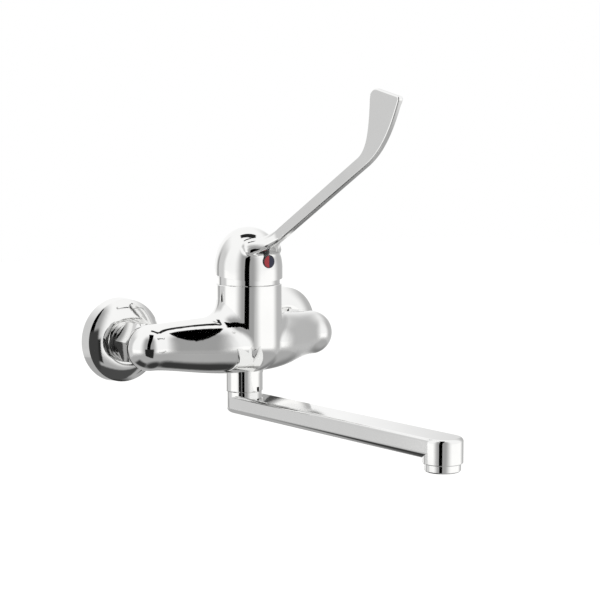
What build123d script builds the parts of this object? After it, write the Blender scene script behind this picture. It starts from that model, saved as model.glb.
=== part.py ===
from build123d import *
import math
import os

# Wall mixer with a long elbow lever and a swivel spout.
# Millimetres. The wall is the plane Y = 0 and the mixer stands out towards -Y.
# X runs to the right seen from the front, Z is up, Z = 0 is the height of the inlets.

# Layout
inlet_spacing = 150.0        # between the two inlet axes at the body
tower_y = -63.2              # upright axis of tower, cartridge and cap
spout_y = -57.1              # upright axis that the spout swings about
running_gap = 0.06           # radial gap of a shaft that turns in its bore
seat_gap = 0.05              # gap between faces that lie on each other
thread_gap = 0.08            # radial gap between male and female threads

# Body casting
arm_end_radius = 17.0        # ball at each end of the body
arm_end_y = -43.0
arm_drop = 2.0               # the arms' middle lies below the inlet axes
body_mid_y = -62.4
body_mid_height = 22.0       # half height of the arms where they meet
body_mid_depth = 22.5        # half depth of the arms where they meet
belly_height = 22.4          # the tower's rounded lower end, below the arms' middle
arm_face_y = -38.0           # flat spot face that the union nut turns against
nut_clearance = 17.5         # radius kept free round the nut
tower_radius = 24.9
tower_top = 42.5
tower_fillet = 13.0
tower_chamfer = 0.5
spout_boss_radius = 14.6
spout_boss_bottom = -24.6
channel_radius = 5.5         # hot and cold ways inside the arms
port_radius = 4.0
port_offset = 10.5           # hot and cold ports, left and right of the tower axis
port_forward = 3.0
outlet_radius = 4.5
outlet_back = 7.2            # outlet port, towards the wall from the tower axis
outlet_extra = 0.5           # outlet port is wider than the inlet ports by this
channel_drop = 1.0           # the inlet channels start this far below the inlet axes
channel_lead = 8.0           # and this far in front of the spot faces
nipple_pocket = 52.0         # depth of the nipple's bore, from the wall

# Cartridge
cavity_depth = 28.5          # from the tower's top to the cartridge's seat
cartridge_radius = 20.0
cartridge_fit = 0.1          # radial gap round the cartridge
base_chamfer = 0.5
base_height = 4.0
disc_height = 4.0
disc_radius = 15.5
disc_port_inset = 0.6        # disc ports are narrower than the base ports
seal_width = 1.5             # of the port seals, on the radius
slider_height = 3.8
slider_radius = 10.8
slider_web = 1.4             # left above the mixing hollow
hollow_length = 13.0
hollow_width = 9.0
hollow_back = 1.5
carrier_height = 5.4
carrier_half_width = 8.6     # to the flats on both sides
flange_gap = 0.6             # between the carrier and the rotor's flange
housing_inner_radius = 17.4
shoulder_rise = 22.0         # from the seat to the top of the housing's wide part
neck_radius = 14.2
neck_cover = 3.0             # the neck reaches this far above the cross pin
rotor_radius = 11.9
rotor_flange_radius = 14.6
rotor_flange_height = 2.4
rotor_proud = 0.8            # the rotor stands out of the neck by this
tongue_thickness = 1.8
tongue_width = 9.0
tongue_lift = 1.5            # gap between the discs and the tongues
tongue_gap = 0.1
slot_length = 16.5           # room for the spindle to swing
slot_forward = 0.5
slot_gap = 0.3
pivot_rise = 4.5             # cross pin that the lever tilts on, above the tower's top
pin_radius = 1.5
pin_gap = 0.02
pin_inset = 0.4              # the pin ends this far inside the rotor
spindle_side = 8.0
spindle_rise = 25.0          # spindle's top above the cross pin
spindle_eye = 4.5            # stem left below the cross pin
spindle_chamfer = 0.6
spindle_neck_radius = 2.1
ball_radius = 2.7
ball_gap = 0.12              # round the ball tip in its socket
carrier_floor = 1.0          # under the ball tip
cartridge_thread_radius = 21.0
cartridge_nut_bore = 14.5
nut_proud = 1.0              # the nut's thread stands above the tower by this
collar_rise = 3.9            # raised ring of the cartridge nut that carries the sleeve
collar_lift = 0.3            # gap between that ring and the tower's top
key_slot_inset = 3.5
key_slot_depth = 2.0
key_slot_length = 9.0
key_slot_width = 5.0

# Sleeve and cap
sleeve_radius = 23.6
sleeve_wall = 1.3
sleeve_opening_rise = 11.5   # the ball-shaped top is cut open this far above the cross pin
cap_radius = 25.6
cap_wall = 1.5
spring_rise = 7.0            # the dome starts this far above the cross pin
cap_height = 30.8            # dome height above the spring line
cap_side_arc = 36.0          # radius of the dome's side, in profile
rim_rise = 1.8               # rim height on the axis, above the cross pin
rim_tilt = 6.5               # the rim stands higher at the back
cap_skirt = 12.0             # blank length below the rim, cut away on the slant
boss_radius = 8.5
boss_rise = 10.0             # bottom of the inner boss above the cross pin
boss_inset = 0.5             # the boss stays this far inside the cap's surface
grip_gap = 0.05              # round the spindle in the boss
grip_end_gap = 0.3
dot_rise = 13.3
dot_radius = 4.9
dot_proud = 0.8              # the dot's flat face stands out from the cap
dot_depth = 2.15             # from its face to the pocket floor
dot_inlay = 1.2              # thickness of the coloured halves
dot_rim = 0.5
dot_pad_radius = 6.1         # thick spot inside the cap that holds the dot
dot_pad_floor = 0.8          # left under the pocket
screw_radius = 2.5
screw_length = 6.0
screw_key_radius = 1.4
screw_key_depth = 2.5

# Elbow lever, drawn in the upright plane through the tower axis
arm_slope = 30.15            # rise of the arm above level
arm_start_forward = 16.45    # centre of the arm inside the dome, from the tower axis
arm_start_rise = 20.4        # and above the cross pin
arm_root_depth = 8.6         # height of the section at the root
arm_depth = 9.2
arm_length = 131.0           # where the back edge turns up into the blade
front_lag = 6.3              # the front edge turns up this much later
blade_lean = 61.6            # direction from the arm's end to the blade's tip
blade_length = 54.3
blade_rise = 75.7            # direction of the blade at its tip
blade_flare = 7.4            # each edge spreads from that direction by this angle
blade_width = 30.4
blade_corner = 6.0
blade_front_corner = 2.2
lever_root_thickness = 5.2   # side to side
lever_tip_thickness = 4.2
lever_edge = 1.1
neck_low = 4.4               # depth of the lever's neck below its middle line
neck_fillet = 4.0            # between neck and dome
# The neck from inside the dome out along the arm: distance, half width, height, corner
lever_neck = (
    (-2.0, 14.4, 8.4, 5.0),
    (5.5, 14.3, 7.0, 5.0),
    (9.7, 10.0, 6.2, 4.8),
    (14.3, 6.85, 5.5, 4.2),
    (20.1, 4.3, 4.9, 3.2),
    (27.0, 2.85, 4.5, 2.0),
    (34.0, 2.25, 4.1, 1.4),
)

# Wall connection
plate_radius = 31.7
plate_front_radius = 30.9
plate_band = 9.0
plate_height = 13.4
plate_hub_radius = 14.4
plate_lip = 1.6
plate_wall = 1.2
plate_bulge_share = 0.78     # where the bulge is highest, as a share of the radius
plate_bulge_drop = 1.1       # how far it stays below the hub
plate_bore_gap = 0.25        # round the thread
thread_radius = 13.2         # three-quarter inch pipe thread
tail_radius = 10.48          # half inch pipe thread
tail_length = 22.0
connector_offset = 6.0       # wall tail stands outside the inlet axis
connector_bore = 7.2
connector_web = 7.0          # solid length at the wall where the two bores meet
connector_shoulder = 1.5     # how far the web stands out round the tail
connector_lead = 0.8         # chamfer at the thread's start
nut_flats = 29.0
nut_back = 21.5
nut_lip = 2.2
nut_turn = -8.0              # angle the nut came to rest at
nut_cone = 1.3               # height of the turned cone at both ends
nipple_flange = 2.1
nipple_flange_inset = 0.3    # flange and washer are smaller than the thread
washer_thickness = 2.0
washer_inset = 0.5
washer_bore_inset = 1.0
strainer_gap = 0.4
strainer_wall = 1.2
strainer_depth = 5.0
strainer_floor = 1.0
strainer_hole_radius = 0.8
strainer_hole_ring = 3.4
nipple_radius = 10.25
nipple_tail_radius = 9.0
nipple_tail_length = 12.0
nipple_bore = 6.5

# Spout and its nut
spout_nut_radius = 14.2
spout_nut_height = 14.2
spout_nut_lip = 2.6
boss_thread_radius = 12.7
boss_thread_length = 8.4
shank_radius = 9.0
shank_top = -11.0
shank_bore = 5.5
neck_ring_radius = 10.5
groove_radius = 8.1
split_ring_height = 2.0
split_ring_gap = 2.2         # opening of the split ring
ring_inset = 0.3             # ring and washer stay inside the nut's thread
ring_fit = 0.08
slide_washer_height = 0.9
seal_wire = 1.1
seal_squeeze = 0.02
seal_groove = 2.6            # height of a seal groove
upper_seal = 5.0             # seals below the shank's top
lower_seal = 9.5
shank_top_gap = 0.5
spout_nut_chamfer = 0.7
spout_nut_turn = 10.0
key_width = 3.0              # key slots at the nut's lower edge
key_depth = 1.2
key_height = 3.8
spout_reach = 218.2          # from swing axis to outlet axis
spout_radius = 13.45         # both round ends, and half the arm's width
spout_nut_gap = 0.15
spout_top = -41.5
spout_bottom = -55.6
spout_top_edge = 2.6
spout_bottom_edge = 5.0
outlet_bottom = -58.5
channel_width = 16.0
channel_height = 8.6
channel_middle = -48.2
channel_corner = 3.5
mouth_chamfer = 0.5

# Aerator
aerator_radius = 12.0
aerator_bottom = -63.9
aerator_thread_radius = 11.0
aerator_thread_length = 7.0
aerator_wall = 1.5
aerator_chamfer = 0.9
aerator_ledge = 0.8          # lip that carries the insert
aerator_ledge_height = 1.2
aerator_hole_radius = 1.1
aerator_inner_ring = 2.9
aerator_outer_ring = 6.3
insert_drop = 0.2            # insert ends this far below the housing's top
aerator_seal_height = 1.4
aerator_seal_width = 2.1

# Derived places
half_spacing = inlet_spacing / 2
nut_front = -arm_face_y - seat_gap
nut_length = nut_front - nut_back
nipple_face = nut_front - nut_lip - seat_gap
washer_back = nipple_face - nipple_flange - seat_gap
connector_front = washer_back - washer_thickness - seat_gap
arm_middle_z = -arm_drop
cavity_floor = tower_top - cavity_depth
cavity_radius = cartridge_radius + cartridge_fit
pivot_height = tower_top + pivot_rise
housing_shoulder = cavity_floor + shoulder_rise
neck_top = pivot_height + neck_cover
rotor_top = neck_top + rotor_proud
spindle_top = pivot_height + spindle_rise
collar_radius = sleeve_radius - sleeve_wall - thread_gap
collar_top = tower_top + collar_rise
sleeve_opening = pivot_height + sleeve_opening_rise
cap_spring_line = pivot_height + spring_rise
cap_rim = pivot_height + rim_rise
boss_bottom = pivot_height + boss_rise
dot_height = pivot_height + dot_rise
arm_start = (tower_y - arm_start_forward, pivot_height + arm_start_rise)
past = 1.0                   # cutters and joined bars reach this far past a face
clear = 60.0                 # cutters that go right through
low = (Align.CENTER, Align.CENTER, Align.MIN)


def bar(radius, bottom, top, x=0.0, y=0.0):
    # Upright round bar between two heights
    return Pos(x, y, bottom) * Cylinder(radius, top - bottom, align=low)


def tube(radius, bore, bottom, top, x=0.0, y=0.0):
    # Upright tube between two heights
    return bar(radius, bottom, top, x, y) - bar(bore, bottom, top, x, y)


def rod(radius, start, end):
    # Round bar between any two points
    run = Vector(*end) - Vector(*start)
    return Solid.make_cylinder(radius, run.length, Plane(origin=start, z_dir=run))


def turned(points):
    # Turned piece about Z from a closed outline of radius and height
    outline = Polyline(*[(r, 0, z) for r, z in points], close=True)
    return revolve(make_face(outline), Axis.Z)


def from_wall(side):
    # Frame of an inlet: its Z runs from the wall out along the inlet axis
    return Pos(side * half_spacing, 0, 0) * Rot(90, 0, 0)


def at_tower(shape):
    return Pos(0, tower_y, 0) * shape


def at_spout(shape):
    return Pos(0, spout_y, 0) * shape


# Body casting


def body_section(x):
    # Oval section of the arms: full at the middle, a circle where the ball end starts
    t = abs(x) / half_spacing
    share = t ** 3 * (4 - 3 * t)
    middle_y = body_mid_y + (arm_end_y - body_mid_y) * share
    depth = body_mid_depth + (arm_end_radius - body_mid_depth) * share
    height = body_mid_height + (arm_end_radius - body_mid_height) * share
    plane = Plane(origin=(x, middle_y, arm_middle_z), x_dir=(0, 1, 0), z_dir=(1, 0, 0))
    return plane * Ellipse(depth, height)


def body_tower():
    # Upright tower that runs down to the arms' middle and ends in a rounded belly
    tower = bar(tower_radius, arm_middle_z, tower_top)
    tower = chamfer(tower.edges().sort_by(Axis.Z)[-1], tower_chamfer)
    quarter = Pos(tower_radius, -tower_radius) * Rectangle(2 * tower_radius, 2 * tower_radius)
    belly = revolve(Plane.XZ * (Ellipse(tower_radius, belly_height) & quarter), Axis.Z)
    return at_tower(tower + Pos(0, 0, arm_middle_z) * belly)


def tower_seam(shape):
    # The line where the arms run into the tower and its belly, on both sides
    found = [e for e in shape.edges() if e.geom_type != GeomType.CIRCLE]
    found = [e for e in found if abs(e.position_at(0.5).X) < 2 * tower_radius]
    return [e for e in found if e.bounding_box().size.X > pin_radius]


def body_outside():
    stations = [half_spacing * step / 6 for step in range(-6, 7)]
    arms = loft([body_section(x) for x in stations])
    for side in (-1, 1):
        arms += Pos(side * half_spacing, arm_end_y, arm_middle_z) * Sphere(arm_end_radius)
    outside = arms + body_tower()
    outside = fillet(tower_seam(outside), tower_fillet)
    outside += at_spout(bar(spout_boss_radius, spout_boss_bottom, arm_middle_z))
    return outside


def body_ways():
    # Everything that is hollow in the casting
    cuts = at_tower(bar(cavity_radius, cavity_floor, tower_top + past))
    cuts += at_tower(bar(cartridge_thread_radius, housing_shoulder, tower_top + past))
    outlet_y = tower_y + outlet_back
    cuts += bar(outlet_radius, shank_top, cavity_floor + past, 0, outlet_y)
    shank_bottom = spout_boss_bottom - boss_thread_length - past
    cuts += at_spout(bar(shank_radius + running_gap, shank_bottom, shank_top + past))
    for side in (-1, 1):
        port_x = side * port_offset
        port_y = tower_y - port_forward
        inlet = (side * half_spacing, arm_face_y - channel_lead, -channel_drop)
        cuts += bar(port_radius, arm_middle_z, cavity_floor + past, port_x, port_y)
        cuts += rod(channel_radius, inlet, (port_x, port_y, arm_middle_z))
        cuts += from_wall(side) * bar(nipple_tail_radius + thread_gap, 0, nipple_pocket)
        cuts += from_wall(side) * bar(nut_clearance, 0, -arm_face_y)
    return cuts


def make_body():
    casting = body_outside() - body_ways()
    boss = at_spout(tube(boss_thread_radius, shank_radius + running_gap,
                         spout_boss_bottom - boss_thread_length, spout_boss_bottom))
    return casting + boss


# Wall connection


def make_cover_plate(side):
    # Dished plate: straight band, rounded shoulder, hub lip round the thread
    rim = (plate_radius, 0)
    shoulder = (plate_front_radius, plate_band)
    hub = (plate_hub_radius, plate_height)
    bulge = (plate_front_radius * plate_bulge_share, plate_height - plate_bulge_drop)
    bore = thread_radius + plate_bore_gap
    inner_shoulder = (shoulder[0] - plate_wall, shoulder[1] - plate_wall / 2)
    outer = ThreePointArc((shoulder[0], 0, shoulder[1]), (bulge[0], 0, bulge[1]), (hub[0], 0, hub[1]))
    inner = ThreePointArc((inner_shoulder[0], 0, inner_shoulder[1]),
                          (bulge[0] - plate_wall / 3, 0, bulge[1] - plate_wall),
                          (bore, 0, hub[1] - plate_wall))
    edges = [
        Line((plate_radius - plate_wall, 0, 0), (rim[0], 0, 0)),
        Line((rim[0], 0, 0), (shoulder[0], 0, shoulder[1])),
        outer,
        Line((hub[0], 0, hub[1]), (hub[0], 0, hub[1] + plate_lip)),
        Line((hub[0], 0, hub[1] + plate_lip), (bore, 0, hub[1] + plate_lip)),
        Line((bore, 0, hub[1] + plate_lip), (bore, 0, hub[1] - plate_wall)),
        inner,
        Line((inner_shoulder[0], 0, inner_shoulder[1]), (plate_radius - plate_wall, 0, 0)),
    ]
    plate = revolve(make_face(edges), Axis.Z)
    return from_wall(side) * plate


def make_connector(side):
    # Offset connector: half inch tail in the wall, three-quarter inch thread in front
    offset = side * connector_offset
    front = bar(thread_radius, connector_web / 2, connector_front)
    front = chamfer(front.edges().sort_by(Axis.Z)[-1], connector_lead)
    web = bar(thread_radius, past, connector_web)
    web += bar(tail_radius + connector_shoulder, 0, connector_web, offset)
    tail = bar(tail_radius, -tail_length, past, offset)
    shape = front + web + tail
    shape -= bar(connector_bore, connector_web / 2, connector_front + past)
    shape -= bar(connector_bore, -tail_length - past, connector_web - past, offset)
    return from_wall(side) * shape


def make_union_nut(side):
    # Hexagon nut with both ends turned to a cone, and a lip that draws the nipple in
    corner = nut_flats / math.sqrt(3)
    prism = Rot(0, 0, nut_turn) * extrude(RegularPolygon(corner, 6), nut_length)
    narrow = corner - 2 * nut_cone
    blank = turned([(0, 0), (narrow, 0), (corner, nut_cone),
                    (corner, nut_length - nut_cone), (narrow, nut_length), (0, nut_length)])
    nut = prism & blank
    nut -= bar(thread_radius + thread_gap, -past, nut_length - nut_lip)
    nut -= bar(nipple_radius + thread_gap, -past, nut_length + past)
    return from_wall(side) * Pos(0, 0, nut_back) * nut


def make_filter_washer(side):
    # Flat washer with a shallow strainer cup inside it
    face = washer_back - washer_thickness
    washer = tube(thread_radius - washer_inset, connector_bore - washer_bore_inset, face, washer_back)
    outer = connector_bore - strainer_gap
    floor_top = face - strainer_depth
    strainer = tube(outer, outer - strainer_wall, floor_top, face)
    strainer += bar(outer, floor_top - strainer_floor, floor_top)
    hole = bar(strainer_hole_radius, floor_top - 2 * strainer_floor, floor_top + strainer_floor)
    strainer -= hole
    strainer -= [spot * hole for spot in PolarLocations(strainer_hole_ring, 6)]
    return from_wall(side) * (washer + strainer)


def make_inlet_nipple(side):
    # Flange inside the nut, neck through its lip, threaded tail in the body
    flange = bar(thread_radius - nipple_flange_inset, washer_back + seat_gap, nipple_face)
    neck = bar(nipple_radius, nipple_face, -arm_face_y)
    tail = bar(nipple_tail_radius, -arm_face_y, -arm_face_y + nipple_tail_length)
    nipple = flange + neck + tail
    nipple -= bar(nipple_bore, washer_back - past, -arm_face_y + nipple_tail_length + past)
    return from_wall(side) * nipple


# Cartridge


def ports(radius, bottom, top):
    # The hot, cold and mixed ways through the base and the fixed disc
    cuts = bar(radius, bottom, top, port_offset, -port_forward)
    cuts += bar(radius, bottom, top, -port_offset, -port_forward)
    cuts += bar(radius + outlet_extra, bottom, top, 0, outlet_back)
    return cuts


base_bottom = cavity_floor + seat_gap
base_top = base_bottom + base_height
fixed_bottom = base_top + seat_gap
fixed_top = fixed_bottom + disc_height
slider_bottom = fixed_top + seat_gap
slider_top = slider_bottom + slider_height
carrier_bottom = slider_top + seat_gap
carrier_top = carrier_bottom + carrier_height
flange_bottom = carrier_top + flange_gap
flange_top = flange_bottom + rotor_flange_height
housing_bottom = fixed_bottom
ball_height = carrier_bottom + carrier_floor + ball_gap + ball_radius
seal_pocket = 1.2            # depth of the port seals' pockets


def make_cartridge_base():
    base = bar(cartridge_radius, base_bottom, base_top)
    base = chamfer(base.edges().sort_by(Axis.Z)[0], base_chamfer)
    base -= ports(port_radius, base_bottom - past, base_top + past)
    base -= ports(port_radius + seal_width + thread_gap, base_bottom - past, base_bottom + seal_pocket)
    return at_tower(base)


def make_base_seals():
    outer = ports(port_radius + seal_width, base_bottom, base_bottom + seal_pocket - seat_gap)
    return at_tower(outer - ports(port_radius, base_bottom - past, base_top))


def make_fixed_disc():
    disc = bar(disc_radius, fixed_bottom, fixed_top)
    disc -= ports(port_radius - disc_port_inset, fixed_bottom - past, fixed_top + past)
    return at_tower(disc)


def make_moving_disc():
    # Its hollow joins the hot and cold ways to the outlet when it slides forward
    disc = bar(slider_radius, slider_bottom, slider_top)
    hollow = extrude(SlotOverall(hollow_length, hollow_width), slider_height - slider_web)
    return at_tower(disc - Pos(0, hollow_back, slider_bottom) * hollow)


def make_disc_carrier():
    # Flats on both sides run between the rotor's tongues, the socket takes the ball tip
    carrier = bar(slider_radius, carrier_bottom, carrier_top)
    carrier &= Pos(0, 0, carrier_bottom) * Box(2 * carrier_half_width, clear, clear, align=low)
    carrier -= bar(ball_radius + ball_gap, carrier_bottom + carrier_floor, carrier_top + past)
    return at_tower(carrier)


def make_cartridge_housing():
    inner = housing_inner_radius
    bore = rotor_radius + running_gap
    top = flange_top + seat_gap
    shape = turned([
        (inner, housing_bottom), (cartridge_radius, housing_bottom),
        (cartridge_radius, housing_shoulder), (neck_radius, housing_shoulder),
        (neck_radius, neck_top), (bore, neck_top), (bore, top), (inner, top)])
    return at_tower(shape)


def make_rotor():
    # Turns in the neck; a slot lets the spindle swing, two tongues drive the disc carrier
    rotor = bar(rotor_radius, flange_bottom, rotor_top)
    rotor += bar(rotor_flange_radius, flange_bottom, flange_top)
    tongue_x = carrier_half_width + tongue_gap + tongue_thickness / 2
    for side in (-1, 1):
        tongue = Pos(side * tongue_x, 0, carrier_bottom + tongue_lift)
        rotor += tongue * Box(tongue_thickness, tongue_width, flange_bottom - carrier_bottom, align=low)
    slot = Box(spindle_side + slot_gap, slot_length, clear, align=low)
    rotor -= Pos(0, -slot_forward, carrier_bottom) * slot
    rotor -= cross_bar(pin_radius + pin_gap, clear)
    return at_tower(rotor)


def cross_bar(radius, length):
    # Level round bar along the lever's tilt axis
    return Pos(0, 0, pivot_height) * Rot(0, 90, 0) * Cylinder(radius, length)


def make_spindle_pin():
    return at_tower(cross_bar(pin_radius, 2 * (rotor_radius - pin_inset)))


def make_spindle():
    # Square stem, eye for the cross pin, thin leg and ball tip
    side = spindle_side
    stem_bottom = pivot_height - spindle_eye
    stem = Pos(0, 0, stem_bottom) * Box(side, side, spindle_top - stem_bottom, align=low)
    stem = chamfer(stem.faces().sort_by(Axis.Z)[-1].edges(), spindle_chamfer)
    leg = bar(spindle_neck_radius, ball_height, stem_bottom + past)
    ball = Pos(0, 0, ball_height) * Sphere(ball_radius)
    return at_tower(stem + leg + ball - cross_bar(pin_radius + running_gap, clear))


def make_cartridge_nut():
    # Threaded ring on the housing's shoulder, with a raised collar and six key slots
    thread_bottom = housing_shoulder + seat_gap
    nut = bar(cartridge_thread_radius - thread_gap, thread_bottom, tower_top + nut_proud)
    nut += bar(collar_radius, tower_top + collar_lift, collar_top)
    nut -= bar(cartridge_nut_bore, thread_bottom - past, collar_top + past)
    key = Box(key_slot_length, key_slot_width, 2 * key_slot_depth, align=low)
    for spot in PolarLocations(collar_radius - key_slot_inset, 6):
        nut -= spot * Pos(0, 0, collar_top - key_slot_depth) * key
    return at_tower(nut)


# Sleeve, cap and lever


def make_trim_sleeve():
    # Plain cylinder below, part of a ball about the tilt pin above
    bore = collar_radius + thread_gap
    outer = bar(sleeve_radius, tower_top + seat_gap, pivot_height)
    outer += Pos(0, 0, pivot_height) * Sphere(sleeve_radius)
    inner = bar(bore, tower_top - past, pivot_height)
    inner += Pos(0, 0, pivot_height) * Sphere(bore)
    keep = bar(sleeve_radius + past, tower_top + seat_gap, sleeve_opening)
    return at_tower((outer & keep) - inner)


def dome(inset, bottom):
    # Straight below the spring line, then a long side arc that runs into a ball crown.
    # The inset moves the whole outline inwards by the same distance.
    radius = cap_radius - inset
    side_centre = cap_radius - cap_side_arc
    rise = cap_height - cap_side_arc
    crown_rise = (rise ** 2 - side_centre ** 2) / (2 * rise)
    crown_radius = cap_height - crown_rise
    slope = math.atan2(crown_rise, -side_centre)
    side_arc = cap_side_arc - inset
    crown_arc = crown_radius - inset
    join = (side_arc * math.cos(slope) + side_centre, cap_spring_line + side_arc * math.sin(slope))
    half = (side_arc * math.cos(slope / 2) + side_centre, cap_spring_line + side_arc * math.sin(slope / 2))
    lean = (slope + math.pi / 2) / 2
    crown_z = cap_spring_line + crown_rise
    upper = (crown_arc * math.cos(lean), crown_z + crown_arc * math.sin(lean))
    top = (0, 0, crown_z + crown_arc)
    edges = [
        Line((0, 0, bottom), (radius, 0, bottom)),
        Line((radius, 0, bottom), (radius, 0, cap_spring_line)),
        ThreePointArc((radius, 0, cap_spring_line), (half[0], 0, half[1]), (join[0], 0, join[1])),
        ThreePointArc((join[0], 0, join[1]), (upper[0], 0, upper[1]), top),
        Line(top, (0, 0, bottom)),
    ]
    return revolve(make_face(edges), Axis.Z)


def outward(angle):
    # Direction in the lever's plane, at an angle above level towards the user
    return Vector(0, -math.cos(math.radians(angle)), math.sin(math.radians(angle)))


def lever_blank():
    # Outline of arm and blade in the upright plane: a straight tapered arm that sweeps
    # up into a wide blade, square across its tip
    along = outward(arm_slope)
    across = outward(arm_slope - 90)
    side = outward(blade_rise - 90)
    root = Vector(0, arm_start[0], arm_start[1])
    back_end = root + along * arm_length
    front_end = back_end + along * front_lag
    tip = back_end + outward(blade_lean) * blade_length
    lower_start = root + across * (arm_root_depth / 2)
    lower_bend = front_end + across * (arm_depth / 2)
    lower_tip = tip + side * (blade_width / 2)
    upper_tip = tip - side * (blade_width / 2)
    upper_bend = back_end - across * (arm_depth / 2)
    upper_start = root - across * (arm_root_depth / 2)
    front_run = outward(blade_rise - blade_flare)
    back_run = outward(blade_rise + blade_flare)
    edges = [
        Line(lower_start, lower_bend),
        Spline(lower_bend, lower_tip, tangents=[along, front_run]),
        Line(lower_tip, upper_tip),
        Spline(upper_tip, upper_bend, tangents=[-back_run, -along]),
        Line(upper_bend, upper_start),
        Line(upper_start, lower_start),
    ]
    blank = extrude(make_face(edges), lever_root_thickness, both=True)
    ends = blank.edges().filter_by(Axis.X)
    upper = ends.sort_by_distance(upper_tip)[0]
    blank = fillet(upper, blade_corner)
    ends = blank.edges().filter_by(Axis.X)
    lower = ends.sort_by_distance(lower_tip)[0]
    blank = fillet(lower, blade_front_corner)
    # The thickness runs out from root to tip
    reach = arm_length + blade_length + blade_width
    taper = make_face(Polyline(
        (-lever_root_thickness / 2, 0), (lever_root_thickness / 2, 0),
        (lever_tip_thickness / 2, reach), (-lever_tip_thickness / 2, reach), close=True))
    # Local X stays sideways, local Y runs along the arm
    plane = Plane(origin=root, x_dir=(1, 0, 0), z_dir=across)
    wedge = extrude(plane * taper, reach, both=True)
    return blank & wedge


def neck_blank():
    # The arm's root flares sideways until it runs into the dome, its underside stays straight
    along = outward(arm_slope)
    across = outward(arm_slope - 90)
    root = Vector(0, arm_start[0], arm_start[1])
    sections = []
    for run, half_width, up, corner in lever_neck:
        down = min(neck_low, up)
        centre = root + along * run - across * ((up - down) / 2)
        plane = Plane(origin=centre, x_dir=(1, 0, 0), z_dir=along)
        sections.append(plane * RectangleRounded(2 * half_width, up + down, corner))
    return loft(sections)


def is_neck_seam(edge):
    # The line where the neck leaves the dome
    root = Vector(0, arm_start[0], arm_start[1])
    runs = [(edge.position_at(share) - root).dot(outward(arm_slope)) for share in (0, 0.5, 1)]
    flat = edge.bounding_box().size.Z < seat_gap
    high = edge.bounding_box().min.Z > boss_bottom
    near = min(runs) > -arm_root_depth and max(runs) < 2 * arm_root_depth
    return near and high and not (flat and edge.geom_type == GeomType.CIRCLE)


def make_lever():
    arm = lever_blank()
    arm = fillet([e for e in arm.edges() if not long_inside(e)], lever_edge)
    shell = at_tower(dome(0, cap_rim - cap_skirt)) + neck_blank()
    shell = fillet([e for e in shell.edges() if is_neck_seam(e)], neck_fillet)
    shell += arm
    shell -= at_tower(dome(cap_wall, cap_rim - cap_skirt - past))
    boss = bar(boss_radius, boss_bottom, cap_spring_line + cap_height - cap_wall)
    within = at_tower(dome(boss_inset, cap_rim))
    shell += at_tower(boss) & within
    # Rim cut on a slant, higher at the back
    below = (Align.CENTER, Align.CENTER, Align.MAX)
    slant = Plane(origin=(0, tower_y, cap_rim)) * Rot(rim_tilt, 0, 0)
    shell -= slant * Box(4 * cap_radius, 4 * cap_radius, clear, align=below)
    # Socket for the spindle, bore for the screw and seat for the dot
    grip = spindle_side + 2 * grip_gap
    grip_height = spindle_top + grip_end_gap - boss_bottom
    shell -= at_tower(Pos(0, 0, boss_bottom - past) * Box(grip, grip, grip_height + past, align=low))
    shell += dot_disc(dot_pad_radius, dot_depth + dot_pad_floor, dot_proud + boss_inset) & within
    shell -= dot_disc(screw_radius + seat_gap, dot_face(), 0)
    shell -= dot_disc(dot_radius, dot_depth, -past)
    return shell


def dot_face():
    # How far the dot's flat face stands from the tower axis
    drop = dot_height - cap_spring_line
    surface = cap_radius - cap_side_arc + math.sqrt(cap_side_arc ** 2 - drop ** 2)
    return surface + dot_proud


def dot_disc(radius, back, front):
    # Round disc on the dot's axis, between two depths behind the dot's face
    face = tower_y - dot_face()
    return rod(radius, (0, face + back, dot_height), (0, face + front, dot_height))


def long_inside(edge):
    # Edges of the arm that stay hidden inside the dome
    return edge.bounding_box().min.Y > arm_start[0] - lever_root_thickness / 2


def make_lever_screw():
    start = tower_y - spindle_side / 2 - seat_gap
    screw = rod(screw_radius, (0, start, dot_height), (0, start - screw_length, dot_height))
    key = Plane(origin=(0, start - screw_length, dot_height), z_dir=(0, 1, 0))
    return screw - extrude(key * RegularPolygon(screw_key_radius, 6), screw_key_depth)


def make_dot_holder():
    holder = dot_disc(dot_radius - seat_gap, dot_depth - seat_gap, 0)
    return holder - dot_disc(dot_radius - dot_rim, dot_inlay, -past)


def make_dot_half(side):
    # One coloured half, parted from the other by a hairline
    half = dot_disc(dot_radius - dot_rim - seat_gap, dot_inlay - seat_gap, 0)
    reach = 2 * dot_radius
    keep = Pos(side * (reach / 2 + seat_gap / 2), tower_y - dot_face(), dot_height) * Box(reach, reach, reach)
    return half & keep


# Spout


nut_top = spout_boss_bottom - seat_gap
nut_bottom = nut_top - spout_nut_height
lip_top = nut_bottom + spout_nut_lip
ring_bottom = lip_top + seat_gap
ring_top = ring_bottom + split_ring_height
slide_bottom = ring_top + seat_gap
slide_top = slide_bottom + slide_washer_height


def make_spout_nut():
    nut = bar(spout_nut_radius, nut_bottom, nut_top)
    nut = chamfer(nut.edges().sort_by(Axis.Z)[0], spout_nut_chamfer)
    nut -= bar(boss_thread_radius + thread_gap, lip_top, nut_top + past)
    nut -= bar(neck_ring_radius + running_gap, nut_bottom - past, nut_top)
    # Two key slots at the lower edge
    for turn in (spout_nut_turn, spout_nut_turn + 180):
        spot = Rot(0, 0, turn) * Pos(0, -spout_nut_radius, nut_bottom)
        nut -= spot * Box(key_width, 2 * key_depth, 2 * key_height)
    return at_spout(nut)


def make_slide_washer():
    return at_spout(tube(boss_thread_radius - ring_inset, shank_radius + ring_fit, slide_bottom, slide_top))


def make_split_ring():
    ring = tube(boss_thread_radius - ring_inset, groove_radius + ring_fit, ring_bottom, ring_top)
    opening = Box(split_ring_gap, boss_thread_radius, split_ring_height + 2 * past, align=low)
    return at_spout(ring - Pos(0, boss_thread_radius, ring_bottom - past) * opening)


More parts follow.
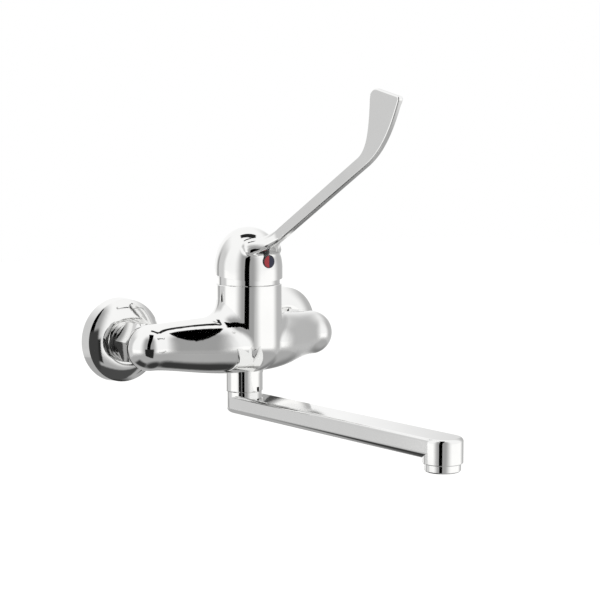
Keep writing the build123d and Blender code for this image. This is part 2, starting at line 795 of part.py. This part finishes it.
def make_spout():
    # Arm as wide as its round ends, softened above and more below
    tip_y = spout_y - spout_reach
    outline = Pos(0, (spout_y + tip_y) / 2) * SlotCenterToCenter(spout_reach, 2 * spout_radius, 90)
    arm = Pos(0, 0, spout_bottom) * extrude(outline, spout_top - spout_bottom)
    top = arm.edges().group_by(Axis.Z)[-1]
    arm = fillet(top, spout_top_edge)
    under = arm.edges().group_by(Axis.Z)[0]
    arm = fillet(under, spout_bottom_edge)
    arm += at_spout(bar(spout_radius, channel_middle, nut_bottom - spout_nut_gap))
    mouth = bar(spout_radius, outlet_bottom, channel_middle, 0, tip_y)
    mouth = chamfer(mouth.edges().sort_by(Axis.Z)[0], mouth_chamfer)
    arm += mouth
    shank = bar(neck_ring_radius, nut_bottom - past, ring_bottom - seat_gap)
    shank += bar(groove_radius, ring_bottom - past, ring_top + past)
    shank += bar(shank_radius, ring_top + seat_gap, shank_top - shank_top_gap)
    half = seal_groove / 2
    for height in seal_heights():
        shank -= tube(shank_radius + past, shank_radius - 2 * seal_wire, height - half, height + half)
    arm += at_spout(shank)
    arm -= at_spout(bar(shank_bore, channel_middle, shank_top))
    way = Plane(origin=(0, spout_y + shank_bore, channel_middle), x_dir=(1, 0, 0), z_dir=(0, -1, 0))
    bore = RectangleRounded(channel_width, channel_height, channel_corner)
    arm -= extrude(way * bore, spout_reach + shank_bore)
    arm -= bar(aerator_thread_radius + thread_gap, outlet_bottom - past, seal_top(), 0, tip_y)
    seal_bore = aerator_thread_radius - aerator_seal_width - ring_inset
    arm -= bar(seal_bore, seal_top() - past, channel_middle, 0, tip_y)
    return arm


def seal_heights():
    return (shank_top - upper_seal, shank_top - lower_seal)


def make_spout_seals():
    ring_radius = shank_radius - seal_wire + running_gap - seal_squeeze
    wire = seal_wire - seal_squeeze
    rings = [Pos(0, 0, height) * Torus(ring_radius, wire) for height in seal_heights()]
    return at_spout(rings[0] + rings[1])


# Aerator


def aerator_top():
    return outlet_bottom + aerator_thread_length


def seal_top():
    return aerator_top() + aerator_seal_height + 2 * seat_gap


def make_aerator_housing():
    tip_y = spout_y - spout_reach
    flange = bar(aerator_radius, aerator_bottom, outlet_bottom - seat_gap, 0, tip_y)
    flange = chamfer(flange.edges().sort_by(Axis.Z)[0], aerator_chamfer)
    flange += bar(aerator_thread_radius, outlet_bottom - past, aerator_top(), 0, tip_y)
    bore = aerator_thread_radius - aerator_wall
    flange -= bar(bore - aerator_ledge, aerator_bottom - past, aerator_top() + past, 0, tip_y)
    flange -= bar(bore, aerator_bottom + aerator_ledge_height, aerator_top() + past, 0, tip_y)
    return flange


def make_aerator_insert():
    # Flow straightener: a round block of small upright holes
    tip_y = spout_y - spout_reach
    bore = aerator_thread_radius - aerator_wall - seat_gap
    bottom = aerator_bottom + aerator_ledge_height + seat_gap
    block = bar(bore, bottom, aerator_top() - insert_drop, 0, tip_y)
    for ring, count in ((aerator_inner_ring, 6), (aerator_outer_ring, 12)):
        for spot in PolarLocations(ring, count):
            hole = spot * Cylinder(aerator_hole_radius, clear)
            block -= Pos(0, tip_y, aerator_bottom) * hole
    return block


def make_aerator_seal():
    tip_y = spout_y - spout_reach
    bottom = aerator_top() + seat_gap
    outer = aerator_thread_radius - 2 * seat_gap
    return tube(outer, outer - aerator_seal_width, bottom, bottom + aerator_seal_height, 0, tip_y)


def write(name, shape):
    export_step(shape, os.path.join("parts", name + ".step"))


os.makedirs("parts", exist_ok=True)
write("body", make_body())
for name, side in (("left", -1), ("right", 1)):
    write("cover_plate_" + name, make_cover_plate(side))
    write("connector_" + name, make_connector(side))
    write("union_nut_" + name, make_union_nut(side))
    write("filter_washer_" + name, make_filter_washer(side))
    write("inlet_nipple_" + name, make_inlet_nipple(side))
write("cartridge_base", make_cartridge_base())
write("base_seals", make_base_seals())
write("fixed_disc", make_fixed_disc())
write("moving_disc", make_moving_disc())
write("disc_carrier", make_disc_carrier())
write("cartridge_housing", make_cartridge_housing())
write("rotor", make_rotor())
write("spindle_pin", make_spindle_pin())
write("spindle", make_spindle())
write("cartridge_nut", make_cartridge_nut())
write("trim_sleeve", make_trim_sleeve())
write("lever", make_lever())
write("lever_screw", make_lever_screw())
write("dot_holder", make_dot_holder())
write("dot_red", make_dot_half(-1))
write("dot_blue", make_dot_half(1))
write("spout_nut", make_spout_nut())
write("slide_washer", make_slide_washer())
write("split_ring", make_split_ring())
write("spout", make_spout())
write("spout_seals", make_spout_seals())
write("aerator_housing", make_aerator_housing())
write("aerator_insert", make_aerator_insert())
write("aerator_seal", make_aerator_seal())
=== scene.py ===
import math
import bpy
import bmesh
from mathutils import Matrix, Vector


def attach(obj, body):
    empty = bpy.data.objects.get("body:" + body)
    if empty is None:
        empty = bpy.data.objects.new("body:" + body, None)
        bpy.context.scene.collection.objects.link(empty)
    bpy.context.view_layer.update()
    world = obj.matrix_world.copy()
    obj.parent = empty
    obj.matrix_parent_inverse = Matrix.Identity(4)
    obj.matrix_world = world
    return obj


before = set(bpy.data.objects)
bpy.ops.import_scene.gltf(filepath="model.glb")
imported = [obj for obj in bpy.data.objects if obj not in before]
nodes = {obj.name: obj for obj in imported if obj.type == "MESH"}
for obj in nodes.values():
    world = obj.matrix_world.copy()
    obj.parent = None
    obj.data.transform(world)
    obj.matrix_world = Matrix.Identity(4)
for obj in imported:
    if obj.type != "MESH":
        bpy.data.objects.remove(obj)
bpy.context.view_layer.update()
scene = bpy.context.scene
print("frame loaded:", len(nodes), "nodes")


# Camera at the photograph's viewing angle, fitted with 150 mm between the two inlets
camera = {
    "place": (-0.68871, -1.00550, 0.15153),
    "right": (0.78747, -0.61635, 0.0),
    "up": (0.06389, 0.08163, 0.99461),
    "lens": 94.155,
    "sensor": 36.0,
    "near": 0.05,
    "far": 60,
}


def makeCamera():
    data = bpy.data.cameras.new("camera")
    data.lens = camera["lens"]
    data.sensor_width = camera["sensor"]
    data.clip_start = camera["near"]
    data.clip_end = camera["far"]
    right = Vector(camera["right"]).normalized()
    up = Vector(camera["up"]).normalized()
    back = right.cross(up)
    turn = Matrix((right, up, back)).transposed().to_4x4()
    obj = bpy.data.objects.new("camera", data)
    obj.matrix_world = Matrix.Translation(camera["place"]) @ turn
    scene.collection.objects.link(obj)
    scene.camera = obj


makeCamera()
print("camera placed")


# Helpers for node trees
def addNode(tree, kind, sockets=None, **settings):
    node = tree.nodes.new(kind)
    for key, value in settings.items():
        setattr(node, key, value)
    for socket, value in (sockets or {}).items():
        node.inputs[socket].default_value = value
    return node


def times(tree, first, second):
    both = addNode(tree, "ShaderNodeMath", operation="MULTIPLY")
    tree.links.new(first, both.inputs[0])
    tree.links.new(second, both.inputs[1])
    return both.outputs[0]


def newMaterial(name):
    mat = bpy.data.materials.new(name)
    mat.use_nodes = True
    return mat, mat.node_tree


# Finishes: two close tones and an uneven gloss follow one noise, a fine relief follows another.
# Noise scales are per metre, and the relief's depth is in metres.
noiseRange = (0.3, 0.7)  # most of a noise lies between these

chromeLook = {
    # bright plating with a faint haze, over the slight waviness of a hand-polished casting
    "shader": {"Metallic": 1.0},
    "tones": ((0.930, 0.930, 0.922), (0.895, 0.895, 0.888)),
    "roughness": (0.035, 0.075),
    "pattern": {"scale": 38, "detail": 4, "rough": 0.55},
    "relief": {"scale": 24, "detail": 1.5, "rough": 0.4, "strength": 0.25, "depth": 0.00012},
}

brassLook = {
    # turned brass without plating, a little tarnished
    "shader": {"Metallic": 1.0},
    "tones": ((0.79, 0.60, 0.30), (0.60, 0.43, 0.20)),
    "toneRange": (0.4, 0.75),
    "roughness": (0.22, 0.42),
    "pattern": {"scale": 120, "detail": 5, "rough": 0.6},
    "relief": {"scale": 900, "detail": 2, "rough": 0.5, "strength": 0.3, "depth": 0.00004},
}

steelLook = {
    "shader": {"Metallic": 1.0},
    "tones": ((0.62, 0.62, 0.61), (0.48, 0.48, 0.47)),
    "roughness": (0.18, 0.34),
    "pattern": {"scale": 260, "detail": 4, "rough": 0.6},
    "relief": {"scale": 1500, "detail": 2, "rough": 0.5, "strength": 0.25, "depth": 0.00003},
}

# What the ceramic, plastic and rubber pieces share
softMottle = {"scale": 90, "detail": 4, "rough": 0.55}
fineGrain = {"scale": 1800, "detail": 3, "rough": 0.6, "strength": 0.2, "depth": 0.00003}
glossGrain = {**fineGrain, "strength": 0.08}

ceramicLook = {
    "shader": {"IOR": 1.72},
    "tones": ((0.80, 0.78, 0.73), (0.76, 0.74, 0.69)),
    "roughness": (0.10, 0.20),
    "pattern": softMottle,
    "relief": {**fineGrain, "scale": 4000, "depth": 0.00001},
}

whitePlasticLook = {
    "shader": {"IOR": 1.5},
    "tones": ((0.82, 0.82, 0.79), (0.78, 0.78, 0.75)),
    "roughness": (0.34, 0.46),
    "pattern": softMottle,
    "relief": fineGrain,
}

darkPlasticLook = {
    "shader": {"IOR": 1.5},
    "tones": ((0.028, 0.028, 0.030), (0.022, 0.022, 0.024)),
    "roughness": (0.30, 0.42),
    "pattern": softMottle,
    "relief": fineGrain,
}

dotRedLook = {
    "shader": {"IOR": 1.5},
    "tones": ((0.42, 0.016, 0.030), (0.37, 0.013, 0.026)),
    "roughness": (0.16, 0.24),
    "pattern": softMottle,
    "relief": glossGrain,
}

dotBlueLook = {
    "shader": {"IOR": 1.5},
    "tones": ((0.005, 0.008, 0.040), (0.004, 0.007, 0.034)),
    "roughness": (0.16, 0.24),
    "pattern": softMottle,
    "relief": glossGrain,
}

rubberLook = {
    "shader": {"IOR": 1.5},
    "tones": ((0.018, 0.018, 0.018), (0.030, 0.029, 0.028)),
    "roughness": (0.48, 0.66),
    "pattern": softMottle,
    "relief": {**fineGrain, "strength": 0.35},
}


def objectNoise(tree, pattern):
    # Object coordinates keep the noise on the piece when it moves
    coords = addNode(tree, "ShaderNodeTexCoord")
    noise = addNode(tree, "ShaderNodeTexNoise", {
        "Scale": pattern["scale"],
        "Detail": pattern["detail"],
        "Roughness": pattern["rough"],
    })
    tree.links.new(coords.outputs["Object"], noise.inputs["Vector"])
    return noise.outputs["Fac"]


def toneMix(tree, pattern, tones, reach):
    ramp = addNode(tree, "ShaderNodeValToRGB")
    for stop, place, tone in zip(ramp.color_ramp.elements, reach, tones):
        stop.position = place
        stop.color = (*tone, 1)
    tree.links.new(pattern, ramp.inputs["Fac"])
    return ramp.outputs["Color"]


def glossMix(tree, pattern, roughness):
    ramp = addNode(tree, "ShaderNodeMapRange", {
        "From Min": noiseRange[0],
        "From Max": noiseRange[1],
        "To Min": roughness[0],
        "To Max": roughness[1],
    })
    tree.links.new(pattern, ramp.inputs["Value"])
    return ramp.outputs["Result"]


def makeFinish(name, look):
    mat, tree = newMaterial(name)
    shader = tree.nodes["Principled BSDF"]
    for socket, value in look["shader"].items():
        shader.inputs[socket].default_value = value
    pattern = objectNoise(tree, look["pattern"])
    tones = toneMix(tree, pattern, look["tones"], look.get("toneRange", noiseRange))
    gloss = glossMix(tree, pattern, look["roughness"])
    relief = look["relief"]
    bump = addNode(tree, "ShaderNodeBump", {
        "Strength": relief["strength"],
        "Distance": relief["depth"],
    })
    tree.links.new(objectNoise(tree, relief), bump.inputs["Height"])
    tree.links.new(tones, shader.inputs["Base Color"])
    tree.links.new(gloss, shader.inputs["Roughness"])
    tree.links.new(bump.outputs["Normal"], shader.inputs["Normal"])
    return mat


finishes = {
    "polished_chrome": makeFinish("polishedChrome", chromeLook),
    "bare_brass": makeFinish("bareBrass", brassLook),
    "steel": makeFinish("steel", steelLook),
    "ceramic": makeFinish("ceramic", ceramicLook),
    "white_plastic": makeFinish("whitePlastic", whitePlasticLook),
    "seal_rubber": makeFinish("sealRubber", rubberLook),
    "dark_plastic": makeFinish("darkPlastic", darkPlasticLook),
    "red_plastic": makeFinish("redPlastic", dotRedLook),
    "blue_plastic": makeFinish("bluePlastic", dotBlueLook),
}


def dressNodes():
    # every carried-over node takes the finish of its own slot
    for obj in nodes.values():
        slot = obj.material_slots[0].material.name.split(".")[0]
        for place in obj.material_slots:
            place.material = finishes[slot]


dressNodes()
print("materials on", len(nodes), "nodes")


def meshObject(name, bm, mat):
    mesh = bpy.data.meshes.new(name)
    bm.to_mesh(mesh)
    bm.free()
    obj = bpy.data.objects.new(name, mesh)
    obj.data.materials.append(mat)
    scene.collection.objects.link(obj)
    return obj


# Pipe thread on the half inch tails that go into the wall
thread = {
    "tailX": 0.081,
    "start": 0.0018,
    "pitch": 0.001814,
    "turns": 10,
    "stepsPerTurn": 40,
    "rootRadius": 0.01030,
    "crestRadius": 0.01085,
    "rootWidth": 0.00165,
    "crestWidth": 0.00025,
}


def makeThread(name, side):
    # one helical ridge wound round the tail, closed at both ends
    bm = bmesh.new()
    x = side * thread["tailX"]
    root, crest = thread["rootRadius"], thread["crestRadius"]
    wide, narrow = thread["rootWidth"] / 2, thread["crestWidth"] / 2
    outline = [(root, -wide), (crest, -narrow), (crest, narrow), (root, wide)]
    corners = [bm.verts.new((x + radius, thread["start"] + along, 0)) for radius, along in outline]
    for first, second in zip(corners, corners[1:] + corners[:1]):
        bm.edges.new((first, second))
    bmesh.ops.spin(bm, geom=bm.verts[:] + bm.edges[:], cent=(x, 0, 0), axis=(0, 1, 0),
                   dvec=(0, thread["pitch"] / thread["stepsPerTurn"], 0),
                   angle=2 * math.pi * thread["turns"],
                   steps=thread["stepsPerTurn"] * thread["turns"], use_merge=False)
    ends = [edge for edge in bm.edges if edge.is_boundary]
    bmesh.ops.holes_fill(bm, edges=ends, sides=len(outline))
    bmesh.ops.recalc_face_normals(bm, faces=bm.faces)
    # the spin leaves its faces in a chance order, so they are put in one that is the same each run
    bm.verts.index_update()
    bm.faces.sort(key=lambda face: sum(vert.index ** 2 for vert in face.verts))
    piece = meshObject(name, bm, finishes["polished_chrome"])
    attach(piece, "fixed")


makeThread("tail_thread_left", -1)
makeThread("tail_thread_right", 1)
print("thread wound on the wall tails")


# Stage: a white room with a pale floor, and soft cards that only the plating mirrors
white = (1, 1, 1, 1)

roomLook = {
    "light": 0.75,
    "tint": (1.0, 0.995, 0.985, 1),
}


def shownRays(tree):
    # 1 for rays from the camera, mirrored ones and those through glass, 0 for light on the object
    path = addNode(tree, "ShaderNodeLightPath")
    seen = path.outputs["Is Camera Ray"]
    for other in ("Is Glossy Ray", "Is Transmission Ray"):
        either = addNode(tree, "ShaderNodeMath", operation="MAXIMUM")
        tree.links.new(seen, either.inputs[0])
        tree.links.new(path.outputs[other], either.inputs[1])
        seen = either.outputs[0]
    return seen


def makeWorld():
    # plain white where it shows, and a softer light on the object
    world = bpy.data.worlds.new("room")
    world.use_nodes = True
    tree = world.node_tree
    tree.nodes.clear()
    light = addNode(tree, "ShaderNodeBackground", {
        "Color": roomLook["tint"],
        "Strength": roomLook["light"],
    })
    shown = addNode(tree, "ShaderNodeBackground", {"Color": white, "Strength": 1.0})
    mix = addNode(tree, "ShaderNodeMixShader")
    out = addNode(tree, "ShaderNodeOutputWorld")
    tree.links.new(shownRays(tree), mix.inputs["Fac"])
    tree.links.new(light.outputs["Background"], mix.inputs[1])
    tree.links.new(shown.outputs["Background"], mix.inputs[2])
    tree.links.new(mix.outputs["Shader"], out.inputs["Surface"])
    scene.world = world


floorLook = {
    "height": -1.0,
    "halfWidth": 12,
    "tone": 0.78,
    "roughness": 0.85,
    "glow": 0.50,
}


def makeFloor():
    # pale floor with a glow that lights nothing, so it shows white and keeps the object's shadow
    bm = bmesh.new()
    bmesh.ops.create_grid(bm, x_segments=1, y_segments=1, size=floorLook["halfWidth"])
    bmesh.ops.translate(bm, verts=bm.verts, vec=(0, 0, floorLook["height"]))
    mat, tree = newMaterial("paleFloor")
    shader = tree.nodes["Principled BSDF"]
    tone = floorLook["tone"]
    shader.inputs["Base Color"].default_value = (tone, tone, tone, 1)
    shader.inputs["Roughness"].default_value = floorLook["roughness"]
    shader.inputs["Specular IOR Level"].default_value = 0.0
    strength = addNode(tree, "ShaderNodeMath", {1: floorLook["glow"]}, operation="MULTIPLY")
    glow = addNode(tree, "ShaderNodeEmission", {"Color": white})
    both = addNode(tree, "ShaderNodeAddShader")
    tree.links.new(shownRays(tree), strength.inputs[0])
    tree.links.new(strength.outputs[0], glow.inputs["Strength"])
    tree.links.new(shader.outputs["BSDF"], both.inputs[0])
    tree.links.new(glow.outputs["Emission"], both.inputs[1])
    tree.links.new(both.outputs["Shader"], tree.nodes["Material Output"].inputs["Surface"])
    floor = meshObject("floor", bm, mat)


def onlyMirrored(obj):
    # a card shows in the plating, but neither to the camera nor in the light
    obj.visible_camera = False
    obj.visible_diffuse = False
    obj.visible_shadow = False
    obj.visible_transmission = False


middle = Vector((0.0, -0.06, 0.04))  # the mixer's middle, which the cards stand round


def aim(azimuth, elevation, distance):
    # a place round the mixer: azimuth 0 is straight in front, + to the right
    a, e = math.radians(azimuth), math.radians(elevation)
    towards = Vector((math.sin(a) * math.cos(e), -math.cos(a) * math.cos(e), math.sin(e)))
    return middle + distance * towards


def emptyMaterial(name):
    mat, tree = newMaterial(name)
    tree.nodes.clear()
    return mat, tree


def fadeIn(tree, place, edge):
    # 0 at both ends of a 0..1 place, 1 from the given edge inwards
    inwards = addNode(tree, "ShaderNodeMath", {1: 0.5}, operation="PINGPONG")
    ramp = addNode(tree, "ShaderNodeMapRange", {"From Min": 0.0, "From Max": edge},
                   interpolation_type="SMOOTHSTEP")
    tree.links.new(place, inwards.inputs[0])
    tree.links.new(inwards.outputs[0], ramp.inputs["Value"])
    return ramp.outputs["Result"]


def frontOnly(tree):
    # 1 on the card's front, 0 on its back
    side = addNode(tree, "ShaderNodeNewGeometry")
    front = addNode(tree, "ShaderNodeMath", {0: 1.0}, operation="SUBTRACT")
    tree.links.new(side.outputs["Backfacing"], front.inputs[1])
    return front.outputs[0]


def showCard(tree, tone, cover):
    # a flat tone where the cover is 1, clear where it is 0
    glow = addNode(tree, "ShaderNodeEmission", {"Color": (tone, tone, tone, 1), "Strength": 1.0})
    clear = addNode(tree, "ShaderNodeBsdfTransparent")
    mix = addNode(tree, "ShaderNodeMixShader")
    out = addNode(tree, "ShaderNodeOutputMaterial")
    tree.links.new(cover, mix.inputs["Fac"])
    tree.links.new(clear.outputs["BSDF"], mix.inputs[1])
    tree.links.new(glow.outputs["Emission"], mix.inputs[2])
    tree.links.new(mix.outputs["Shader"], out.inputs["Surface"])


def cardMaterial(name, card, oneSided=False):
    # one flat tone that fades out towards the card's edges
    mat, tree = emptyMaterial(name)
    place = addNode(tree, "ShaderNodeUVMap", uv_map="place")
    parts = addNode(tree, "ShaderNodeSeparateXYZ")
    tree.links.new(place.outputs["UV"], parts.inputs["Vector"])
    cover = times(tree, fadeIn(tree, parts.outputs["X"], card["softSides"]),
                  fadeIn(tree, parts.outputs["Y"], card["softEnds"]))
    if oneSided:
        cover = times(tree, cover, frontOnly(tree))
    showCard(tree, card["tone"], cover)
    return mat


def newSheet(across, along):
    # a flat sheet from -1 to 1, whose UV map runs from 0 to 1 both ways
    bm = bmesh.new()
    bmesh.ops.create_grid(bm, x_segments=across, y_segments=along, size=1)
    layer = bm.loops.layers.uv.new("place")
    for face in bm.faces:
        for loop in face.loops:
            loop[layer].uv = ((loop.vert.co.x + 1) / 2, (loop.vert.co.y + 1) / 2)
    return bm


# Large cards: a route of (azimuth, elevation) places, and the width in metres at each of them
cardMesh = {"across": 8, "smoothing": 2}

cards = {
    "blackStrip": {
        "route": [(-41, -32), (-41, -20), (-41, -8), (-40.5, 5), (-39, 20), (-33, 38), (-27, 52),
                  (-22, 66), (-18, 74)],
        "widths": [0.19, 0.22, 0.225, 0.225, 0.23, 0.24, 0.26, 0.28, 0.28],
        "distance": 0.79,
        "tone": 0.0,
        "softSides": 0.05,
        "softEnds": 0.06,
    },
    "veil": {
        "route": [(-38, -55), (-38, -35), (-38, -10), (-38, 15), (-36, 36), (-32, 54), (-26, 70)],
        "widths": [1.10, 1.30, 1.38, 1.38, 1.20, 0.95, 0.70],
        "distance": 0.85,
        "tone": 0.36,
        "softSides": 0.34,
        "softEnds": 0.32,
    },
    "greyRight": {
        "route": [(96, -60), (96, -30), (96, 0), (96, 28), (96, 56)],
        "widths": [1.10, 1.25, 1.35, 1.25, 1.00],
        "distance": 0.88,
        "tone": 0.50,
        "softSides": 0.36,
        "softEnds": 0.40,
    },
    "greyBack": {
        "route": [(-146, -45), (-146, -20), (-146, 5), (-146, 25), (-146, 48)],
        "widths": [0.80, 0.90, 0.92, 0.90, 0.80],
        "distance": 0.88,
        "tone": 0.64,
        "softSides": 0.24,
        "softEnds": 0.30,
    },
    "darkBack": {
        "route": [(-158, -35), (-158, -15), (-158, 5), (-158, 25)],
        "widths": [0.22, 0.22, 0.22, 0.22],
        "distance": 0.86,
        "tone": 0.34,
        "softSides": 0.40,
        "softEnds": 0.30,
    },
    "lowLeft": {
        "route": [(-122, -40), (-122, -56), (-122, -74)],
        "widths": [0.36, 0.34, 0.30],
        "distance": 0.42,
        "tone": 0.04,
        "softSides": 0.30,
        "softEnds": 0.25,
    },
    "lowRight": {
        "route": [(122, -24), (122, -42), (122, -62)],
        "widths": [0.44, 0.44, 0.44],
        "distance": 0.42,
        "tone": 0.22,
        "softSides": 0.45,
        "softEnds": 0.40,
    },
}


def makeCard(name, card):
    # a strip bent round the mixer along its route
    route, widths, distance = card["route"], card["widths"], card["distance"]
    steps = len(route) - 1
    bm = newSheet(cardMesh["across"], steps)
    for vert in bm.verts:
        step = round((vert.co.y + 1) / 2 * steps)
        here = aim(*route[step], distance)
        before = aim(*route[max(step - 1, 0)], distance)
        after = aim(*route[min(step + 1, steps)], distance)
        sideways = (after - before).cross(here - middle).normalized()
        turn = vert.co.x * widths[step] / 2 / distance
        vert.co = middle + (here - middle) * math.cos(turn) + sideways * distance * math.sin(turn)
    obj = meshObject(name, bm, cardMaterial(name, card))
    soften = obj.modifiers.new("soften", "SUBSURF")
    soften.levels = cardMesh["smoothing"]
    soften.render_levels = cardMesh["smoothing"]
    onlyMirrored(obj)


# Flags: small dark cards near a cover plate or the cap, turned about X (tilt), then Z (roll)
flagEdges = {"softSides": 0.10, "softEnds": 0.10}

flags = {
    "frontFlag": {
        "centre": (-0.145, -0.135, -0.046),
        "size": (0.112, 0.098),
        "tone": 0.02,
        "tilt": -90,
        "roll": 0,
    },
    "leftSideFlag": {
        "centre": (-0.136, -0.045, -0.022),
        "size": (0.072, 0.086),
        "tone": 0.05,
        "tilt": -90,
        "roll": 0,
    },
    "leftLowFlag": {
        "centre": (-0.080, -0.047, -0.077),
        "size": (0.130, 0.074),
        "tone": 0.07,
        "tilt": -90,
        "roll": 0,
    },
    "rightLowFlag": {
        "centre": (0.080, -0.047, -0.077),
        "size": (0.130, 0.074),
        "tone": 0.07,
        "tilt": -90,
        "roll": 0,
    },
    "capFlag": {
        "centre": (-0.004, -0.066, 0.200),
        "size": (0.110, 0.046),
        "tone": 0.02,
        "tilt": 180,
        "roll": -36,
    },
}


def makeFlag(name, flag):
    bm = newSheet(1, 1)
    width, height = flag["size"]
    bmesh.ops.scale(bm, verts=bm.verts, vec=(width / 2, height / 2, 1))
    for angle, axis in ((flag["tilt"], "X"), (flag["roll"], "Z")):
        turn = Matrix.Rotation(math.radians(angle), 3, axis)
        bmesh.ops.rotate(bm, verts=bm.verts, cent=(0, 0, 0), matrix=turn)
    bmesh.ops.translate(bm, verts=bm.verts, vec=flag["centre"])
    onlyMirrored(meshObject(name, bm, cardMaterial(name, {**flag, **flagEdges}, oneSided=True)))


# Discs: flat round cards under the mixer; softRim is the share of the radius that fades
discSegments = 48

discs = {
    "lowGrey": {"height": -0.36, "radius": 1.5, "tone": 0.42, "softRim": 0.62},
    "lowDark": {"height": -0.34, "radius": 0.24, "tone": 0.04, "softRim": 0.66},
}


def makeDisc(name, disc):
    centre = (middle.x, middle.y, disc["height"])
    bm = bmesh.new()
    bmesh.ops.create_circle(bm, cap_ends=True, cap_tris=True, segments=discSegments,
                            radius=disc["radius"])
    bmesh.ops.translate(bm, verts=bm.verts, vec=centre)
    mat, tree = emptyMaterial(name)
    coords = addNode(tree, "ShaderNodeTexCoord")
    outwards = addNode(tree, "ShaderNodeVectorMath", {1: centre}, operation="DISTANCE")
    fade = addNode(tree, "ShaderNodeMapRange", {
        "From Min": disc["radius"],
        "From Max": disc["radius"] * (1 - disc["softRim"]),
    }, interpolation_type="SMOOTHSTEP")
    tree.links.new(coords.outputs["Object"], outwards.inputs[0])
    tree.links.new(outwards.outputs["Value"], fade.inputs["Value"])
    showCard(tree, disc["tone"], fade.outputs["Result"])
    onlyMirrored(meshObject(name, bm, mat))


# Lamps: two broad soft ones, which don't show in the plating
lampTarget = Vector((0, -0.1, 0.03))

lamps = {
    "softLeft": {"azimuth": -110, "elevation": 35, "distance": 2.2, "size": 1.6, "power": 14.0},
    "softRight": {"azimuth": 50, "elevation": 40, "distance": 2.2, "size": 1.4, "power": 14.0},
}


def makeLamp(name, lamp):
    data = bpy.data.lights.new(name, "AREA")
    data.shape = "SQUARE"
    data.size = lamp["size"]
    data.energy = lamp["power"]
    place = aim(lamp["azimuth"], lamp["elevation"], lamp["distance"])
    turn = (lampTarget - place).to_track_quat("-Z", "Y").to_matrix().to_4x4()
    obj = bpy.data.objects.new(name, data)
    obj.matrix_world = Matrix.Translation(place) @ turn
    obj.visible_camera = False
    obj.visible_glossy = False
    scene.collection.objects.link(obj)


makeWorld()
makeFloor()
for name, card in cards.items():
    makeCard(name, card)
for name, disc in discs.items():
    makeDisc(name, disc)
for name, flag in flags.items():
    makeFlag(name, flag)
for name, lamp in lamps.items():
    makeLamp(name, lamp)
scene.view_settings.view_transform = "Standard"
print("stage lit")
